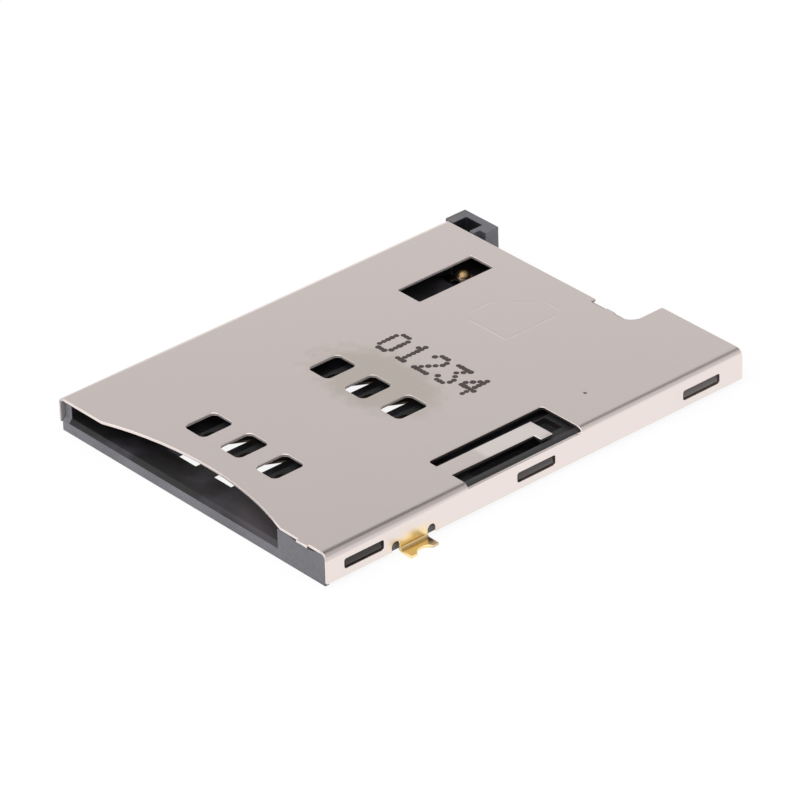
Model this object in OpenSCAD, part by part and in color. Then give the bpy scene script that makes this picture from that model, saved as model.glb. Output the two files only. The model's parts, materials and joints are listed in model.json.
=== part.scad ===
// Push-push socket for a mini SIM card, soldered flat on a board.
// X runs across the card slot, +Y is the way the card goes in, Z = 0 is the board.
// The origin lies on the board, under the middle of the outline.

/* [Shell] */
// Width over the two side walls
shell_w = 19.2; // [17:0.1:22]
// Length of the sheet, from the front edge to the end of the rear lobe
shell_l = 26.1; // [23:0.1:30]
// Height of the top plate over the board
shell_h = 1.8; // [1.65:0.05:2.4]
// Thickness of the sheet
sheet_t = 0.15; // [0.12:0.01:0.18]
// Outer radius of the two long bends
bend_r = 0.38; // [0.3:0.01:0.45]
// Length of the plate beside the rear lobe
main_l = 24.36; // [22:0.02:27]
// Width of the rear lobe, which covers the ejector
lobe_w = 5.5; // [5.3:0.1:6.5]
// Radius in the inner corner of the lobe
lobe_r = 0.7; // [0.3:0.05:0.9]
// Width of the finger arch in the front edge
arch_w = 12.8; // [8:0.1:14]
// Depth of the finger arch
arch_d = 1.07; // [0.6:0.01:1.4]
// Height of the right wall's lower edge over the board
right_lift = 0.2; // [0.15:0.05:0.45]
// Height of the left wall's lower edge over the board
left_lift = 0.45; // [0.2:0.05:0.5]

/* [Carrier stubs] */
// Width of the sheared stub on the front edge
front_stub_w = 0.75; // [0.4:0.05:1]
// How far the front stub stands out
front_stub_out = 0.15; // [0.05:0.01:0.25]
// Distance of the front stub's middle from the right wall
front_stub_inset = 1.55; // [1:0.05:2.5]
// Width of the relief in the rear edge, beside the lobe
relief_w = 2.8; // [1.8:0.1:4]
// Depth of that relief
relief_d = 0.33; // [0.2:0.01:0.4]
// Width of the sheared stub in the relief
rear_stub_w = 0.6; // [0.3:0.05:0.8]
// How far the rear stub stands out of the relief
rear_stub_out = 0.12; // [0.05:0.01:0.2]
// Distance of the rear stub's middle from the lobe
rear_stub_inset = 1.49; // [1.3:0.05:1.8]

/* [Contact field] */
// Distance between columns
col_pitch = 2.54; // [2.3:0.01:2.6]
// Distance between rows
row_pitch = 7.62; // [7.5:0.01:8]
// Sideways place of the middle column, from the card slot's middle
card_offset = 1.25; // [1.2:0.01:1.3]
// Distance of the first row from the front edge
field_y = 3.43; // [3.2:0.01:3.6]
// Window over a contact, across
window_w = 1.46; // [1:0.02:1.6]
// Window over a contact, along the card
window_l = 1.9; // [1.4:0.05:2.2]
// Corner radius of a contact window
window_r = 0.3; // [0.1:0.05:0.4]

/* [Switch window] */
// Width of the window over the card switch
switch_window_w = 1.6; // [1.2:0.1:2]
// Length of the window over the card switch
switch_window_l = 4.8; // [3:0.1:5]
// Distance of the window's middle from the card slot's left side
switch_window_x = 3.78; // [3.3:0.02:4.2]
// Distance of the window's middle from the plate's rear edge
switch_window_y = 3.88; // [3.6:0.02:4.2]
// Corner radius of the window
switch_window_r = 0.08; // [0.05:0.01:0.2]

/* [Latch finger] */
// Width of the cut-out, from the right wall's outer face
cutout_w = 2.78; // [2.7:0.02:3]
// Length of the cut-out
cutout_l = 7.1; // [6.8:0.1:7.6]
// Distance of the cut-out from the front edge
cutout_y = 8.63; // [8.4:0.01:9]
// Depth of the cut-out in the right wall, from the top
cutout_drop = 0.25; // [0.2:0.01:0.3]
// Radius of the cut-out's inner corners
cutout_r = 0.18; // [0.1:0.01:0.25]
// Slot to the left of the finger
finger_gap = 0.58; // [0.4:0.02:0.7]
// Width of the finger
finger_w = 1.03; // [0.7:0.01:1.1]
// Length of the finger
finger_l = 6; // [5.6:0.05:6.2]
// Width of the foot at the finger's end
foot_w = 1.52; // [1.2:0.02:1.54]
// Length of the foot
foot_l = 0.88; // [0.5:0.02:1.2]
// Radius of the foot's free corner
foot_r = 0.2; // [0.1:0.01:0.3]
// How far the finger's end is bent down
finger_drop = 0.05; // [0.03:0.01:0.12]
// Length of the plate in which the finger's bend starts
finger_root = 0.3; // [0.2:0.05:0.6]
// Radius of that bend
finger_bend_r = 2; // [1:0.1:4]

/* [Side slots] */
// Length of a latch slot in the side walls
slot_l = 2.38; // [1.6:0.02:2.6]
// Height of a latch slot
slot_h = 0.52; // [0.4:0.02:0.6]
// Height of a slot's lower edge over the board
slot_z = 0.58; // [0.54:0.02:0.7]
// Corner radius of a slot
slot_r = 0.12; // [0.05:0.01:0.2]
// Distance of the first slot's middle from the front edge
slot_y = 2.25; // [2:0.05:2.6]
// Distance between slots in the right wall
right_slot_pitch = 10.58; // [10:0.02:10.8]
// Distance between slots in the left wall
left_slot_pitch = 9.6; // [9:0.05:10]
// Most slots in a wall
side_slots = 3; // [2:1:3]
// Least distance from a slot to the end of its wall
slot_end = 0.6; // [0.3:0.05:1]
// Air around a housing boss in its slot
boss_gap = 0.1; // [0.04:0.01:0.12]

/* [Solder tabs] */
// Width of a solder tab
tab_w = 1.7; // [1.4:0.05:2]
// How far a tab reaches past the wall
tab_reach = 0.76; // [0.7:0.02:1.2]
// Distance of a tab's middle from the front edge
tab_y = 5.23; // [5.1:0.01:5.6]
// Width of the relief on each side of a tab
tab_relief_w = 0.48; // [0.3:0.02:0.6]
// Height of the reliefs' round tops over the board
tab_relief_z = 0.68; // [0.65:0.01:0.75]
// Bend radius of a tab, at the middle of the sheet
tab_bend_r = 0.22; // [0.15:0.01:0.3]
// Radius of the round fork in a tab's end
fork_r = 0.5; // [0.3:0.02:0.6]
// Depth of that fork
fork_d = 0.3; // [0.2:0.02:0.4]

/* [Housing] */
// Air between the housing and the shell
fit_gap = 0.03; // [0.01:0.01:0.05]
// Air between the housing and the sheet's rear edges
edge_gap = 0.08; // [0.04:0.01:0.12]
// Height of the card floor over the board
floor_t = 0.75; // [0.7:0.01:0.8]
// Left wall beside the card slot, which takes the width that the walls and the channel leave
left_wall_t = 0.47; // [0.4:0.01:0.6]
// Width of the ejector's channel
channel_w = 2.59; // [2.5:0.01:2.7]
// Depth of the lead-in on the front lip, which also sets back the left wall's end
lead_in_d = 0.2; // [0.1:0.05:0.5]
// Height of the lead-in
lead_in_h = 0.22; // [0.1:0.01:0.35]
// Wall between the card slot and the ejector's channel
rib_t = 0.3; // [0.25:0.01:0.35]
// Right wall beside the channel
channel_wall_t = 0.38; // [0.35:0.01:0.4]
// Rear wall behind the card
rear_wall_t = 0.3; // [0.25:0.01:0.4]
// Rear wall of the lobe
lobe_wall_t = 0.45; // [0.3:0.01:0.5]
// Left wall of the lobe
lobe_side_t = 0.42; // [0.3:0.01:0.5]
// Floor under the ejector's channel
channel_floor_t = 0.35; // [0.3:0.01:0.4]
// How far the lower side edges are set back
toe_in = 0.14; // [0.1:0.01:0.2]
// Height of that set-back
toe_h = 0.4; // [0.3:0.05:0.5]
// Distance of the set-back from the front face
toe_start = 0.25; // [0.1:0.05:0.5]
// Width of the block behind the left wall
block_w = 2.45; // [2:0.05:2.8]
// Distance of that block's rear face from the rear end of the sheet
block_short = 0.35; // [0.2:0.05:0.5]
// Length of the block's top, which is level with the sheet
block_l = 1.3; // [1:0.05:1.5]
// Width of the square pocket in the block
pocket_w = 1.15; // [0.8:0.05:1.3]
// Length of the pocket
pocket_l = 0.95; // [0.6:0.05:1]
// Depth of the pocket
pocket_d = 1.4; // [0.6:0.05:1.5]
// Rim between the pocket and the block's left face
pocket_rim = 0.6; // [0.4:0.05:0.7]
// Rim between the pocket and the block's rear face
pocket_rear_rim = 0.45; // [0.3:0.05:0.5]
// Width of the notch in the block's inner front corner
block_notch_w = 0.4; // [0.2:0.05:0.5]
// Length of that notch
block_notch_l = 0.42; // [0.2:0.02:0.6]

/* [Contact springs] */
// Width of a contact
contact_w = 1.2; // [0.9:0.05:1.3]
// Width of a contact's tip
contact_tip_w = 0.5; // [0.4:0.05:0.7]
// Distance behind the crown from which a contact narrows
contact_taper = 0.5; // [0.3:0.05:0.8]
// Height of a contact's crown over the card floor
contact_crown = 0.28; // [0.24:0.01:0.4]
// Slope of a contact's beam in degrees
contact_slope = 17; // [13:1:18]
// Thickness of the contact strip
strip_t = 0.15; // [0.1:0.01:0.16]
// Height of the strip's middle, where the housing grips it
root_z = 0.375; // [0.35:0.005:0.4]
// Length of the gripped stretch
root_l = 1.1; // [0.9:0.05:1.2]
// Length of the solder foot
foot_flat_l = 0.6; // [0.4:0.05:0.7]
// Slope of the step from the foot to the grip in degrees
step_angle = 50; // [40:1:70]
// Bend radius of the step
step_r = 0.2; // [0.15:0.01:0.22]
// Bend radius where the beam leaves the grip
beam_r = 0.8; // [0.5:0.05:1]
// Bend radius of the crown
crown_r = 0.55; // [0.4:0.05:0.7]
// Slope of the tip ahead of the crown in degrees
tip_angle = 45; // [30:1:50]
// Length of the straight tip
tip_l = 0.2; // [0.1:0.02:0.3]
// Width of the opening in the floor round a contact
room_w = 2.1; // [1.6:0.05:2.15]
// Reach of that opening ahead of the crown
room_ahead = 1.72; // [1.2:0.02:1.75]
// Air round the strip where it is gripped
grip_gap = 0.015; // [0.01:0.005:0.03]
// How far the openings reach over the gripped stretch
grip_lap = 0.12; // [0.08:0.01:0.2]

/* [Card switch] */
// Width of the two switch springs
switch_w = 0.8; // [0.6:0.05:0.9]
// Distance of the switch's crowns from the card slot's left side
switch_x = 3.2; // [3.1:0.05:3.6]
// Distance of the switch from the plate's rear edge
switch_y = 2.25; // [2.1:0.01:2.6]
// Height of the moving spring's crown over the card floor
switch_crown = 0.34; // [0.3:0.01:0.45]
// Width of the dome on the moving spring
dome_w = 0.74; // [0.5:0.02:0.8]
// Height of that dome over the crown
dome_h = 0.26; // [0.1:0.01:0.3]
// Slope of the moving spring in degrees
switch_slope = 13; // [12:1:15]
// Height of the fixed spring's crown over the card floor
fixed_crown = -0.03; // [-0.06:0.01:0]
// Slope of the fixed spring in degrees
fixed_slope = 14; // [12:1:16]
// Length of the gripped stretch of the fixed spring
fixed_root_l = 0.8; // [0.7:0.05:0.9]
// Width of the opening in the floor round the switch
switch_room_w = 1.1; // [1:0.05:1.5]
// Reach of that opening ahead of a crown
switch_room_ahead = 0.85; // [0.75:0.05:1]

/* [Ejector slider] */
// Full travel of the slider
slider_travel = 4; // [3.6:0.05:4.2]
// Running gap beside the slider
run_gap = 0.08; // [0.05:0.01:0.12]
// Running gap under the slider
under_gap = 0.04; // [0.02:0.01:0.08]
// Gap left in front of a stop
stop_gap = 0.15; // [0.05:0.01:0.3]
// Width of the slider's arm
arm_w = 0.6; // [0.4:0.02:0.65]
// Length of the cam plate
cam_l = 6.1; // [5.9:0.05:6.5]
// Thickness of the hook behind the card
hook_t = 1.2; // [0.8:0.05:1.3]
// Length of the lug that bears on the spring
lug_t = 1.2; // [0.8:0.05:1.4]
// Distance from the housing post to the lug
lug_gap = 0.8; // [0.4:0.05:1]

/* [Heart cam] */
// Depth of the cam track
track_d = 0.4; // [0.3:0.02:0.42]
// Side play of the pin in the track
track_play = 0.05; // [0.03:0.01:0.08]
// Sideways swing of the pin's end over the full travel
swing = 0.5; // [0.45:0.01:0.52]
// How far short of full travel the pin locks
lock_back = 0.5; // [0.4:0.02:0.6]
// Distance of the resting pin's end from the cam plate's rear edge
tip_inset = 0.9; // [0.7:0.02:1]

/* [Cam pin] */
// Diameter of the wire
pin_d = 0.35; // [0.3:0.01:0.36]
// Bend radius at the middle of the wire
pin_bend_r = 0.25; // [0.2:0.01:0.28]
// Air between the pin and the finger that holds it down
press_gap = 0.02; // [0.01:0.01:0.04]
// Air under the pin's ends
pin_end_gap = 0.04; // [0.02:0.01:0.08]
// Radial play in the pivot hole
pivot_play = 0.04; // [0.02:0.01:0.08]
// Distance of the pivot from the finger's end
pivot_inset = 0.05; // [0:0.01:0.1]
// Housing in front of the pivot
post_lip = 0.45; // [0.4:0.01:0.5]
// Length of the post that holds the pivot
post_l = 1.9; // [1.6:0.05:2]
// Width of the notch in the post's top
notch_w = 1.2; // [1:0.05:1.3]
// Length of the notch behind the pivot
notch_l = 0.9; // [0.5:0.05:1]
// Depth of the pivot hole
pivot_d = 0.5; // [0.4:0.02:0.6]

/* [Spring] */
// Air over the spring and the lug
spring_air = 0.08; // [0.04:0.01:0.15]
// Diameter of the spring's wire
wire_d = 0.15; // [0.1:0.01:0.18]
// Turns of the spring
spring_turns = 9; // [6:1:12]
// Air between the spring's coils and the pegs inside its ends
peg_play = 0.125; // [0.08:0.005:0.2]
// Length of those pegs
peg_l = 1; // [0.6:0.05:1.2]

/* [Hidden] */
$fn = 48;
over = 1;
// Largest turn in one step of a bent strip
bend_step = 12;
// Contacts of a standard card
columns = 3;
rows = 2;

// Outline
outline_l = max(shell_l, main_l);
front_y = -(outline_l + front_stub_out) / 2 + front_stub_out;
rear_y = front_y + shell_l;
main_y = front_y + main_l;
half_w = shell_w / 2;
lobe_x = half_w - lobe_w;

// Housing
body_x = half_w - sheet_t - fit_gap;
body_front_y = front_y + fit_gap;
body_rear_y = main_y - edge_gap;
body_lobe_x = lobe_x + edge_gap;
body_lobe_y = rear_y - edge_gap;
wall_top = shell_h - sheet_t - fit_gap;
// Chamfer that clears the inside of the long bends
top_chamfer = (bend_r - sheet_t) * (2 - sqrt(2));
channel_right = body_x - channel_wall_t;
channel_left = channel_right - channel_w;
slot_right = channel_left - rib_t;
slot_left = left_wall_t - body_x;
block_rear = front_y + outline_l - block_short;
block_front = block_rear - block_l;
left_l = min(main_l, block_front - edge_gap - front_y);
card_stop_y = body_rear_y - rear_wall_t;
lobe_stop_y = body_lobe_y - lobe_wall_t;

// Latch finger
cutout_front = front_y + cutout_y;
cutout_left = half_w - cutout_w;
finger_left = cutout_left + finger_gap;
finger_tip_y = cutout_front + finger_l;
finger_under = shell_h - sheet_t - finger_drop;
finger_angle = atan(finger_drop / finger_l);

// Cam pin
pivot_x = finger_left + finger_w / 2;
pivot_y = finger_tip_y - pivot_inset;
pin_z = finger_under - press_gap - pin_d / 2;
cam_top = pin_z - pin_d / 2 - under_gap;
track_floor = cam_top - track_d;
pin_tip_z = track_floor + pin_end_gap;
pivot_floor = cam_top - pivot_d;
post_top = finger_under - press_gap - under_gap;
post_front = pivot_y - post_lip;
post_rear = post_front + post_l;

// Slider
arm_left = channel_left + run_gap;
arm_right = arm_left + arm_w;
slider_right = channel_right - run_gap;
slider_z = channel_floor_t + under_gap;
cam_rear = post_front - slider_travel - stop_gap;
cam_front = cam_rear - cam_l;
channel_front = cam_front - stop_gap;
lug_front = post_rear + lug_gap;
lug_rear = lug_front + lug_t;
hook_front = min(card_stop_y, lobe_stop_y - hook_t) - stop_gap - slider_travel;
hook_rear = hook_front + hook_t;
hook_left = body_lobe_x + lobe_side_t + stop_gap;
rib_end = hook_front - stop_gap;
tip_y = cam_rear - tip_inset;
pin_span = pivot_y - tip_y;

// Track points from the resting pin: in along the first leg, lock on the third point, out by the last
track_points = [
    [0, 0],
    [swing, -slider_travel],
    [0, lock_back - slider_travel],
    [-swing, -slider_travel],
    [-swing, -slider_travel / 2]
];
track_w = pin_d + 2 * track_play;

// Spring
spring_d = wall_top - slider_z - spring_air;
peg_d = spring_d - 2 * (wire_d + peg_play);
spring_x = slider_right - spring_d / 2;
spring_z = slider_z + spring_d / 2;
spring_r = (spring_d - wire_d) / 2;
spring_front = lug_rear + wire_d / 2 + under_gap;
spring_rear = lobe_stop_y - wire_d / 2 - under_gap;
turn_steps = 20;
wire_sides = 8;

// Contact places
field_x = (slot_left + slot_right) / 2 + card_offset;
function col_x(c) = field_x + (c - (columns - 1) / 2) * col_pitch;
function row_y(r) = front_y + field_y + r * row_pitch;
switch_at = [slot_left + switch_x, main_y - switch_y];

// Latch slots that fit in a wall of this length
function slot_count(wall_l, pitch) =
    min(side_slots, 1 + floor((wall_l - slot_y - slot_l / 2 - slot_end) / pitch));

// Side view of a bent strip: each step is [straight length, turn in degrees, radius of the turn]
function left_of(h) = [-sin(h), cos(h)];
function ahead(h) = [cos(h), sin(h)];
function turn_points(from, h, turn, r) =
    let (side = sign(turn), mid = from + side * r * left_of(h), n = max(1, ceil(abs(turn) / bend_step)))
    [for (k = [0:n]) let (a = h + turn * k / n) [mid - side * r * left_of(a), a]];
function strip_walk(steps, at, h, i = 0) =
    i == len(steps) ? [] :
    let (
        end = at + steps[i][0] * ahead(h),
        bend = steps[i][1] == 0 ? [[end, h]] : turn_points(end, h, steps[i][1], steps[i][2]),
        last = bend[len(bend) - 1]
    )
    concat(bend, strip_walk(steps, last[0], last[1], i + 1));
function strip_outline(steps, at, h, t) =
    let (line = concat([[at, h]], strip_walk(steps, at, h)), n = len(line))
    concat(
        [for (p = line) p[0] + t / 2 * left_of(p[1])],
        [for (i = [n - 1:-1:0]) line[i][0] - t / 2 * left_of(line[i][1])]
    );

// Lengths along a contact spring, measured back from its crown
function beam_l(crown, slope) =
    (crown - strip_t / 2 - root_z - (beam_r + crown_r) * (1 - cos(slope))) / sin(slope);
function beam_back(crown, slope) = beam_l(crown, slope) * cos(slope) + (beam_r + crown_r) * sin(slope);
function step_rise_l() = (root_z - strip_t / 2 - 2 * step_r * (1 - cos(step_angle))) / sin(step_angle);
function step_back() = 2 * step_r * sin(step_angle) + step_rise_l() * cos(step_angle);
function grip_back(crown, slope, grip_l) = beam_back(crown, slope) + grip_l;
function foot_back(crown, slope, grip_l) = grip_back(crown, slope, grip_l) + step_back() + foot_flat_l;

// Plain rounded rectangle about its middle
module round_rect(w, l, r) {
    square([w - 2 * r, l], center = true);
    square([w, l - 2 * r], center = true);
    for (sx = [-1, 1], sy = [-1, 1])
        translate([sx * (w / 2 - r), sy * (l / 2 - r)])
            circle(r);
}

// Upright block from its low corner to its high corner
module block(low, high) {
    translate(low)
        cube(high - low);
}

// Section of the folded sheet, open below
module arch_section(w, h, r) {
    translate([-w / 2, -over])
        square([w, h - r + over]);
    translate([-w / 2 + r, 0])
        square([w - 2 * r, h]);
    for (s = [-1, 1])
        translate([s * (w / 2 - r), h - r])
            circle(r);
}

module folded_section() {
    difference() {
        arch_section(shell_w, shell_h, bend_r);
        arch_section(shell_w - 2 * sheet_t, shell_h - sheet_t, bend_r - sheet_t);
        translate([-half_w - over, -2 * over])
            square([half_w + over, left_lift + 2 * over]);
        translate([0, -2 * over])
            square([half_w + over, right_lift + 2 * over]);
    }
}

// Outline of the sheet seen from above
module shell_plan() {
    relief_y = main_y - relief_d;
    corner_r = min(lobe_r, rear_y - relief_y);
    difference() {
        union() {
            translate([-half_w, front_y])
                square([shell_w, min(main_l, shell_l)]);
            translate([-half_w, front_y])
                square([shell_w - lobe_w, main_l]);
            translate([lobe_x, front_y])
                square([lobe_w, shell_l]);
        }
        translate([lobe_x - relief_w, relief_y])
            square([relief_w, relief_d + over]);
        translate([-half_w - over, block_front - edge_gap])
            square([block_w + edge_gap + over, block_l + block_short + 2 * over]);
    }
    if (corner_r > 0)
        difference() {
            translate([lobe_x - corner_r, relief_y])
                square(corner_r);
            translate([lobe_x - corner_r, relief_y + corner_r])
                circle(corner_r);
        }
    translate([lobe_x - rear_stub_inset - rear_stub_w / 2, relief_y - sheet_t])
        square([rear_stub_w, rear_stub_out + sheet_t]);
}

module finger_arch() {
    r = (pow(arch_w / 2, 2) + pow(arch_d, 2)) / (2 * arch_d);
    translate([0, front_y + arch_d - r, 0])
        cylinder(r = r, h = shell_h + over, $fn = 96);
}

module shell_windows() {
    for (c = [0:columns - 1], r = [0:rows - 1])
        translate([col_x(c), row_y(r), 0])
            linear_extrude(shell_h + over)
                round_rect(window_w, window_l, window_r);
    translate([slot_left + switch_window_x, main_y - switch_window_y, 0])
        linear_extrude(shell_h + over)
            round_rect(switch_window_w, switch_window_l, switch_window_r);
    translate([cutout_left + (cutout_w + over) / 2, cutout_front + cutout_l / 2, shell_h - cutout_drop])
        linear_extrude(bend_r + over)
            round_rect(cutout_w + over, cutout_l, cutout_r);
}

// Latch slots and tab reliefs of one wall; side is 1 on the right and -1 on the left
module wall_cuts(side, wall_l, pitch) {
    for (i = [0:slot_count(wall_l, pitch) - 1])
        translate([side * (half_w - over), front_y + slot_y + i * pitch, slot_z + slot_h / 2])
            rotate([90, 0, 90 * side])
                linear_extrude(2 * over)
                    round_rect(slot_l, slot_h, slot_r);
    for (s = [-1, 1])
        translate([side * (half_w - over), front_y + tab_y + s * (tab_w + tab_relief_w) / 2, tab_relief_z])
            rotate([90, 0, 90 * side])
                linear_extrude(2 * over)
                    translate([0, -tab_relief_w / 2]) {
                        circle(d = tab_relief_w);
                        translate([-tab_relief_w / 2, -over])
                            square([tab_relief_w, over]);
                    }
}

// Solder tab that runs down from the right wall and out along the board
module solder_tab() {
    drop = tab_relief_z - sheet_t / 2 - tab_bend_r;
    out = tab_reach + sheet_t / 2 - tab_bend_r;
    steps = [[drop, 90, tab_bend_r], [out, 0, 0]];
    difference() {
        translate([0, front_y + tab_y + tab_w / 2, 0])
            rotate([90, 0, 0])
                linear_extrude(tab_w)
                    polygon(strip_outline(steps, [half_w - sheet_t / 2, tab_relief_z], -90, sheet_t));
        translate([half_w + tab_reach + fork_r - fork_d, front_y + tab_y, -over])
            cylinder(r = fork_r, h = 2 * over);
    }
}

module latch_finger() {
    straight = finger_l - finger_root / 2;
    steps = [[finger_root, -finger_angle, finger_bend_r], [straight, 0, 0]];
    start = [cutout_front - finger_root, shell_h - sheet_t / 2];
    foot_y = finger_tip_y - foot_l;
    foot_right = finger_left + foot_w;
    intersection() {
        translate([finger_left, 0, 0])
            rotate([90, 0, 90])
                linear_extrude(foot_w)
                    polygon(strip_outline(steps, start, 0, sheet_t));
        union() {
            block([finger_left, start[0], 0], [finger_left + finger_w, finger_tip_y, shell_h]);
            block([finger_left, foot_y, 0], [foot_right, finger_tip_y - foot_r, shell_h]);
            block([finger_left, foot_y, 0], [foot_right - foot_r, finger_tip_y, shell_h]);
            translate([foot_right - foot_r, finger_tip_y - foot_r, 0])
                cylinder(r = foot_r, h = shell_h);
        }
    }
}

// Folded cover of one sheet, with windows, latch finger, side slots and solder tabs
module shell() {
    color([0.76, 0.72, 0.70]) {
        difference() {
            intersection() {
                translate([0, front_y + outline_l, 0])
                    rotate([90, 0, 0])
                        linear_extrude(outline_l)
                            folded_section();
                linear_extrude(shell_h + over)
                    shell_plan();
            }
            finger_arch();
            shell_windows();
            wall_cuts(1, shell_l, right_slot_pitch);
            wall_cuts(-1, left_l, left_slot_pitch);
        }
        latch_finger();
        solder_tab();
        mirror([1, 0, 0])
            solder_tab();
        block(
            [half_w - front_stub_inset - front_stub_w / 2, front_y - front_stub_out, shell_h - sheet_t],
            [half_w - front_stub_inset + front_stub_w / 2, front_y + sheet_t, shell_h]
        );
    }
}

// Ramped boss that snaps into a latch slot of the right wall
module latch_boss(y) {
    out = sheet_t + fit_gap - boss_gap / 2;
    low = slot_z + boss_gap;
    high = slot_z + slot_h - boss_gap;
    length = slot_l - 2 * boss_gap;
    translate([body_x, y + length / 2, 0])
        rotate([90, 0, 0])
            linear_extrude(length)
                polygon([[-fit_gap, low], [out, low], [out, low + boss_gap], [0, high], [-fit_gap, high]]);
}

// What the right side of the housing loses along its upper and its lower edge
module long_edges() {
    translate([body_x, front_y + outline_l + over, wall_top])
        rotate([90, 0, 0])
            linear_extrude(outline_l + 2 * over)
                polygon([
                    [-top_chamfer, 0], [0, -top_chamfer], [over, -top_chamfer],
                    [over, over], [-top_chamfer, over]
                ]);
    block([body_x - toe_in, body_front_y + toe_start, -over], [body_x + over, rear_y + over, toe_h]);
}

// Full-height outline of the housing, before it is hollowed
module housing_block() {
    difference() {
        union() {
            block([-body_x, body_front_y, 0], [body_x, min(body_rear_y, body_lobe_y), wall_top]);
            block([-body_x, body_front_y, 0], [body_lobe_x, body_rear_y, wall_top]);
            block([body_lobe_x, body_front_y, 0], [body_x, body_lobe_y, wall_top]);
            block([-body_x, card_stop_y, 0], [block_w - half_w, block_rear, wall_top]);
        }
        long_edges();
        mirror([1, 0, 0])
            long_edges();
    }
    block([-half_w, block_front, 0], [block_w - half_w, block_rear, shell_h]);
    for (i = [0:slot_count(shell_l, right_slot_pitch) - 1])
        latch_boss(front_y + slot_y + i * right_slot_pitch);
    for (i = [0:slot_count(left_l, left_slot_pitch) - 1])
        mirror([1, 0, 0])
            latch_boss(front_y + slot_y + i * left_slot_pitch);
}

// Space for the card, the ejector and the square pocket
module housing_hollow() {
    block([slot_left, body_front_y - over, floor_t], [slot_right, card_stop_y, shell_h + over]);
    block([channel_left, channel_front, channel_floor_t], [channel_right, lobe_stop_y, shell_h + over]);
    block([hook_left - stop_gap, rib_end, floor_t], [channel_right, lobe_stop_y, shell_h + over]);
    translate([-body_x - over, body_front_y, floor_t])
        rotate([90, 0, 90])
            linear_extrude(slot_right + body_x + over)
                polygon([
                    [-over, -lead_in_h], [0, -lead_in_h], [lead_in_d, 0],
                    [lead_in_d, over], [-over, over]
                ]);
    pocket_y = block_rear - pocket_rear_rim - pocket_l;
    block([pocket_rim - half_w, pocket_y, shell_h - pocket_d],
        [pocket_rim + pocket_w - half_w, pocket_y + pocket_l, shell_h + over]);
    block([block_w - block_notch_w - half_w, block_front - edge_gap, shell_h - pocket_d],
        [block_w - half_w + over, block_front + block_notch_l, shell_h + over]);
}

// Post across the channel, with the notch and the hole for the pin's fixed end
module pivot_post() {
    difference() {
        block([arm_right + run_gap, post_front, 0],
            [channel_right + channel_wall_t / 2, post_rear, post_top]);
        block([pivot_x - notch_w / 2, post_front - over, cam_top],
            [pivot_x + notch_w / 2, pivot_y + notch_l, shell_h]);
        translate([pivot_x, pivot_y, pivot_floor])
            cylinder(d = pin_d + 2 * pivot_play, h = pivot_d + over);
    }
}

// Openings in the floor for one contact spring, and the passage that grips it
module spring_room(w, room, reach, crown, slope, grip_l) {
    grip_rear = -grip_back(crown, slope, grip_l);
    grip_front = -beam_back(crown, slope);
    tail = -foot_back(crown, slope, grip_l);
    block([-room / 2, grip_front - grip_lap, -over], [room / 2, reach, shell_h]);
    block([-room / 2, tail - grip_lap, -over], [room / 2, grip_rear + grip_lap, shell_h]);
    block([-w / 2 - grip_gap, grip_rear - grip_lap, root_z - strip_t / 2 - grip_gap],
        [w / 2 + grip_gap, grip_front + grip_lap, root_z + strip_t / 2 + grip_gap]);
}

// Moves a spring or its openings from their own frame to their place in the housing
module at_contact(c, r) {
    translate([col_x(c), row_y(r), 0])
        rotate(180)
            children();
}

module at_switch(turn) {
    translate(switch_at)
        rotate(turn)
            children();
}

// Black tray that carries the contacts and guides the card and the ejector
module housing() {
    color([0.15, 0.15, 0.16])
    difference() {
        union() {
            difference() {
                housing_block();
                housing_hollow();
            }
            pivot_post();
            translate([spring_x, lobe_stop_y + fit_gap, spring_z])
                rotate([90, 0, 0])
                    cylinder(d = peg_d, h = peg_l + fit_gap);
        }
        intersection() {
            union() {
                for (c = [0:columns - 1], r = [0:rows - 1])
                    at_contact(c, r)
                        spring_room(contact_w, room_w, room_ahead, floor_t + contact_crown,
                            contact_slope, root_l);
                at_switch(90)
                    spring_room(switch_w, switch_room_w, switch_room_ahead, floor_t + switch_crown,
                        switch_slope, root_l);
                at_switch(-90)
                    spring_room(switch_w, switch_room_w, switch_room_ahead, floor_t + fixed_crown,
                        fixed_slope, fixed_root_l);
            }
            block([slot_left, front_y, -over], [slot_right, card_stop_y, floor_t + over]);
        }
    }
}

// Strip spring with a solder foot, a gripped stretch, a rising beam and a round crown at the origin
module strip_spring(w, tip_w, crown, slope, grip_l) {
    steps = [
        [foot_flat_l, step_angle, step_r],
        [step_rise_l(), -step_angle, step_r],
        [grip_l, slope, beam_r],
        [beam_l(crown, slope), -slope - tip_angle, crown_r],
        [tip_l, 0, 0]
    ];
    start = [-foot_back(crown, slope, grip_l), strip_t / 2];
    reach = crown_r + tip_l;
    intersection() {
        translate([-w / 2, 0, 0])
            rotate([90, 0, 90])
                linear_extrude(w)
                    polygon(strip_outline(steps, start, 0, strip_t));
        translate([0, 0, -over])
            linear_extrude(shell_h + over)
                polygon([
                    [-w / 2, start[0] - over], [w / 2, start[0] - over], [w / 2, -contact_taper],
                    [tip_w / 2, reach], [-tip_w / 2, reach], [-w / 2, -contact_taper]
                ]);
    }
}

// Contact spring of one column and row
module contact(c, r) {
    color([0.78, 0.62, 0.35])
        at_contact(c, r)
            strip_spring(contact_w, contact_tip_w, floor_t + contact_crown, contact_slope, root_l);
}

// Half of the dome's section, sunk into the strip by its thickness
module dome_section() {
    rise = dome_h + strip_t;
    r = (pow(dome_w / 2, 2) + pow(rise, 2)) / (2 * rise);
    intersection() {
        translate([0, rise - r])
            circle(r);
        square([dome_w / 2, rise]);
    }
}

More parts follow.
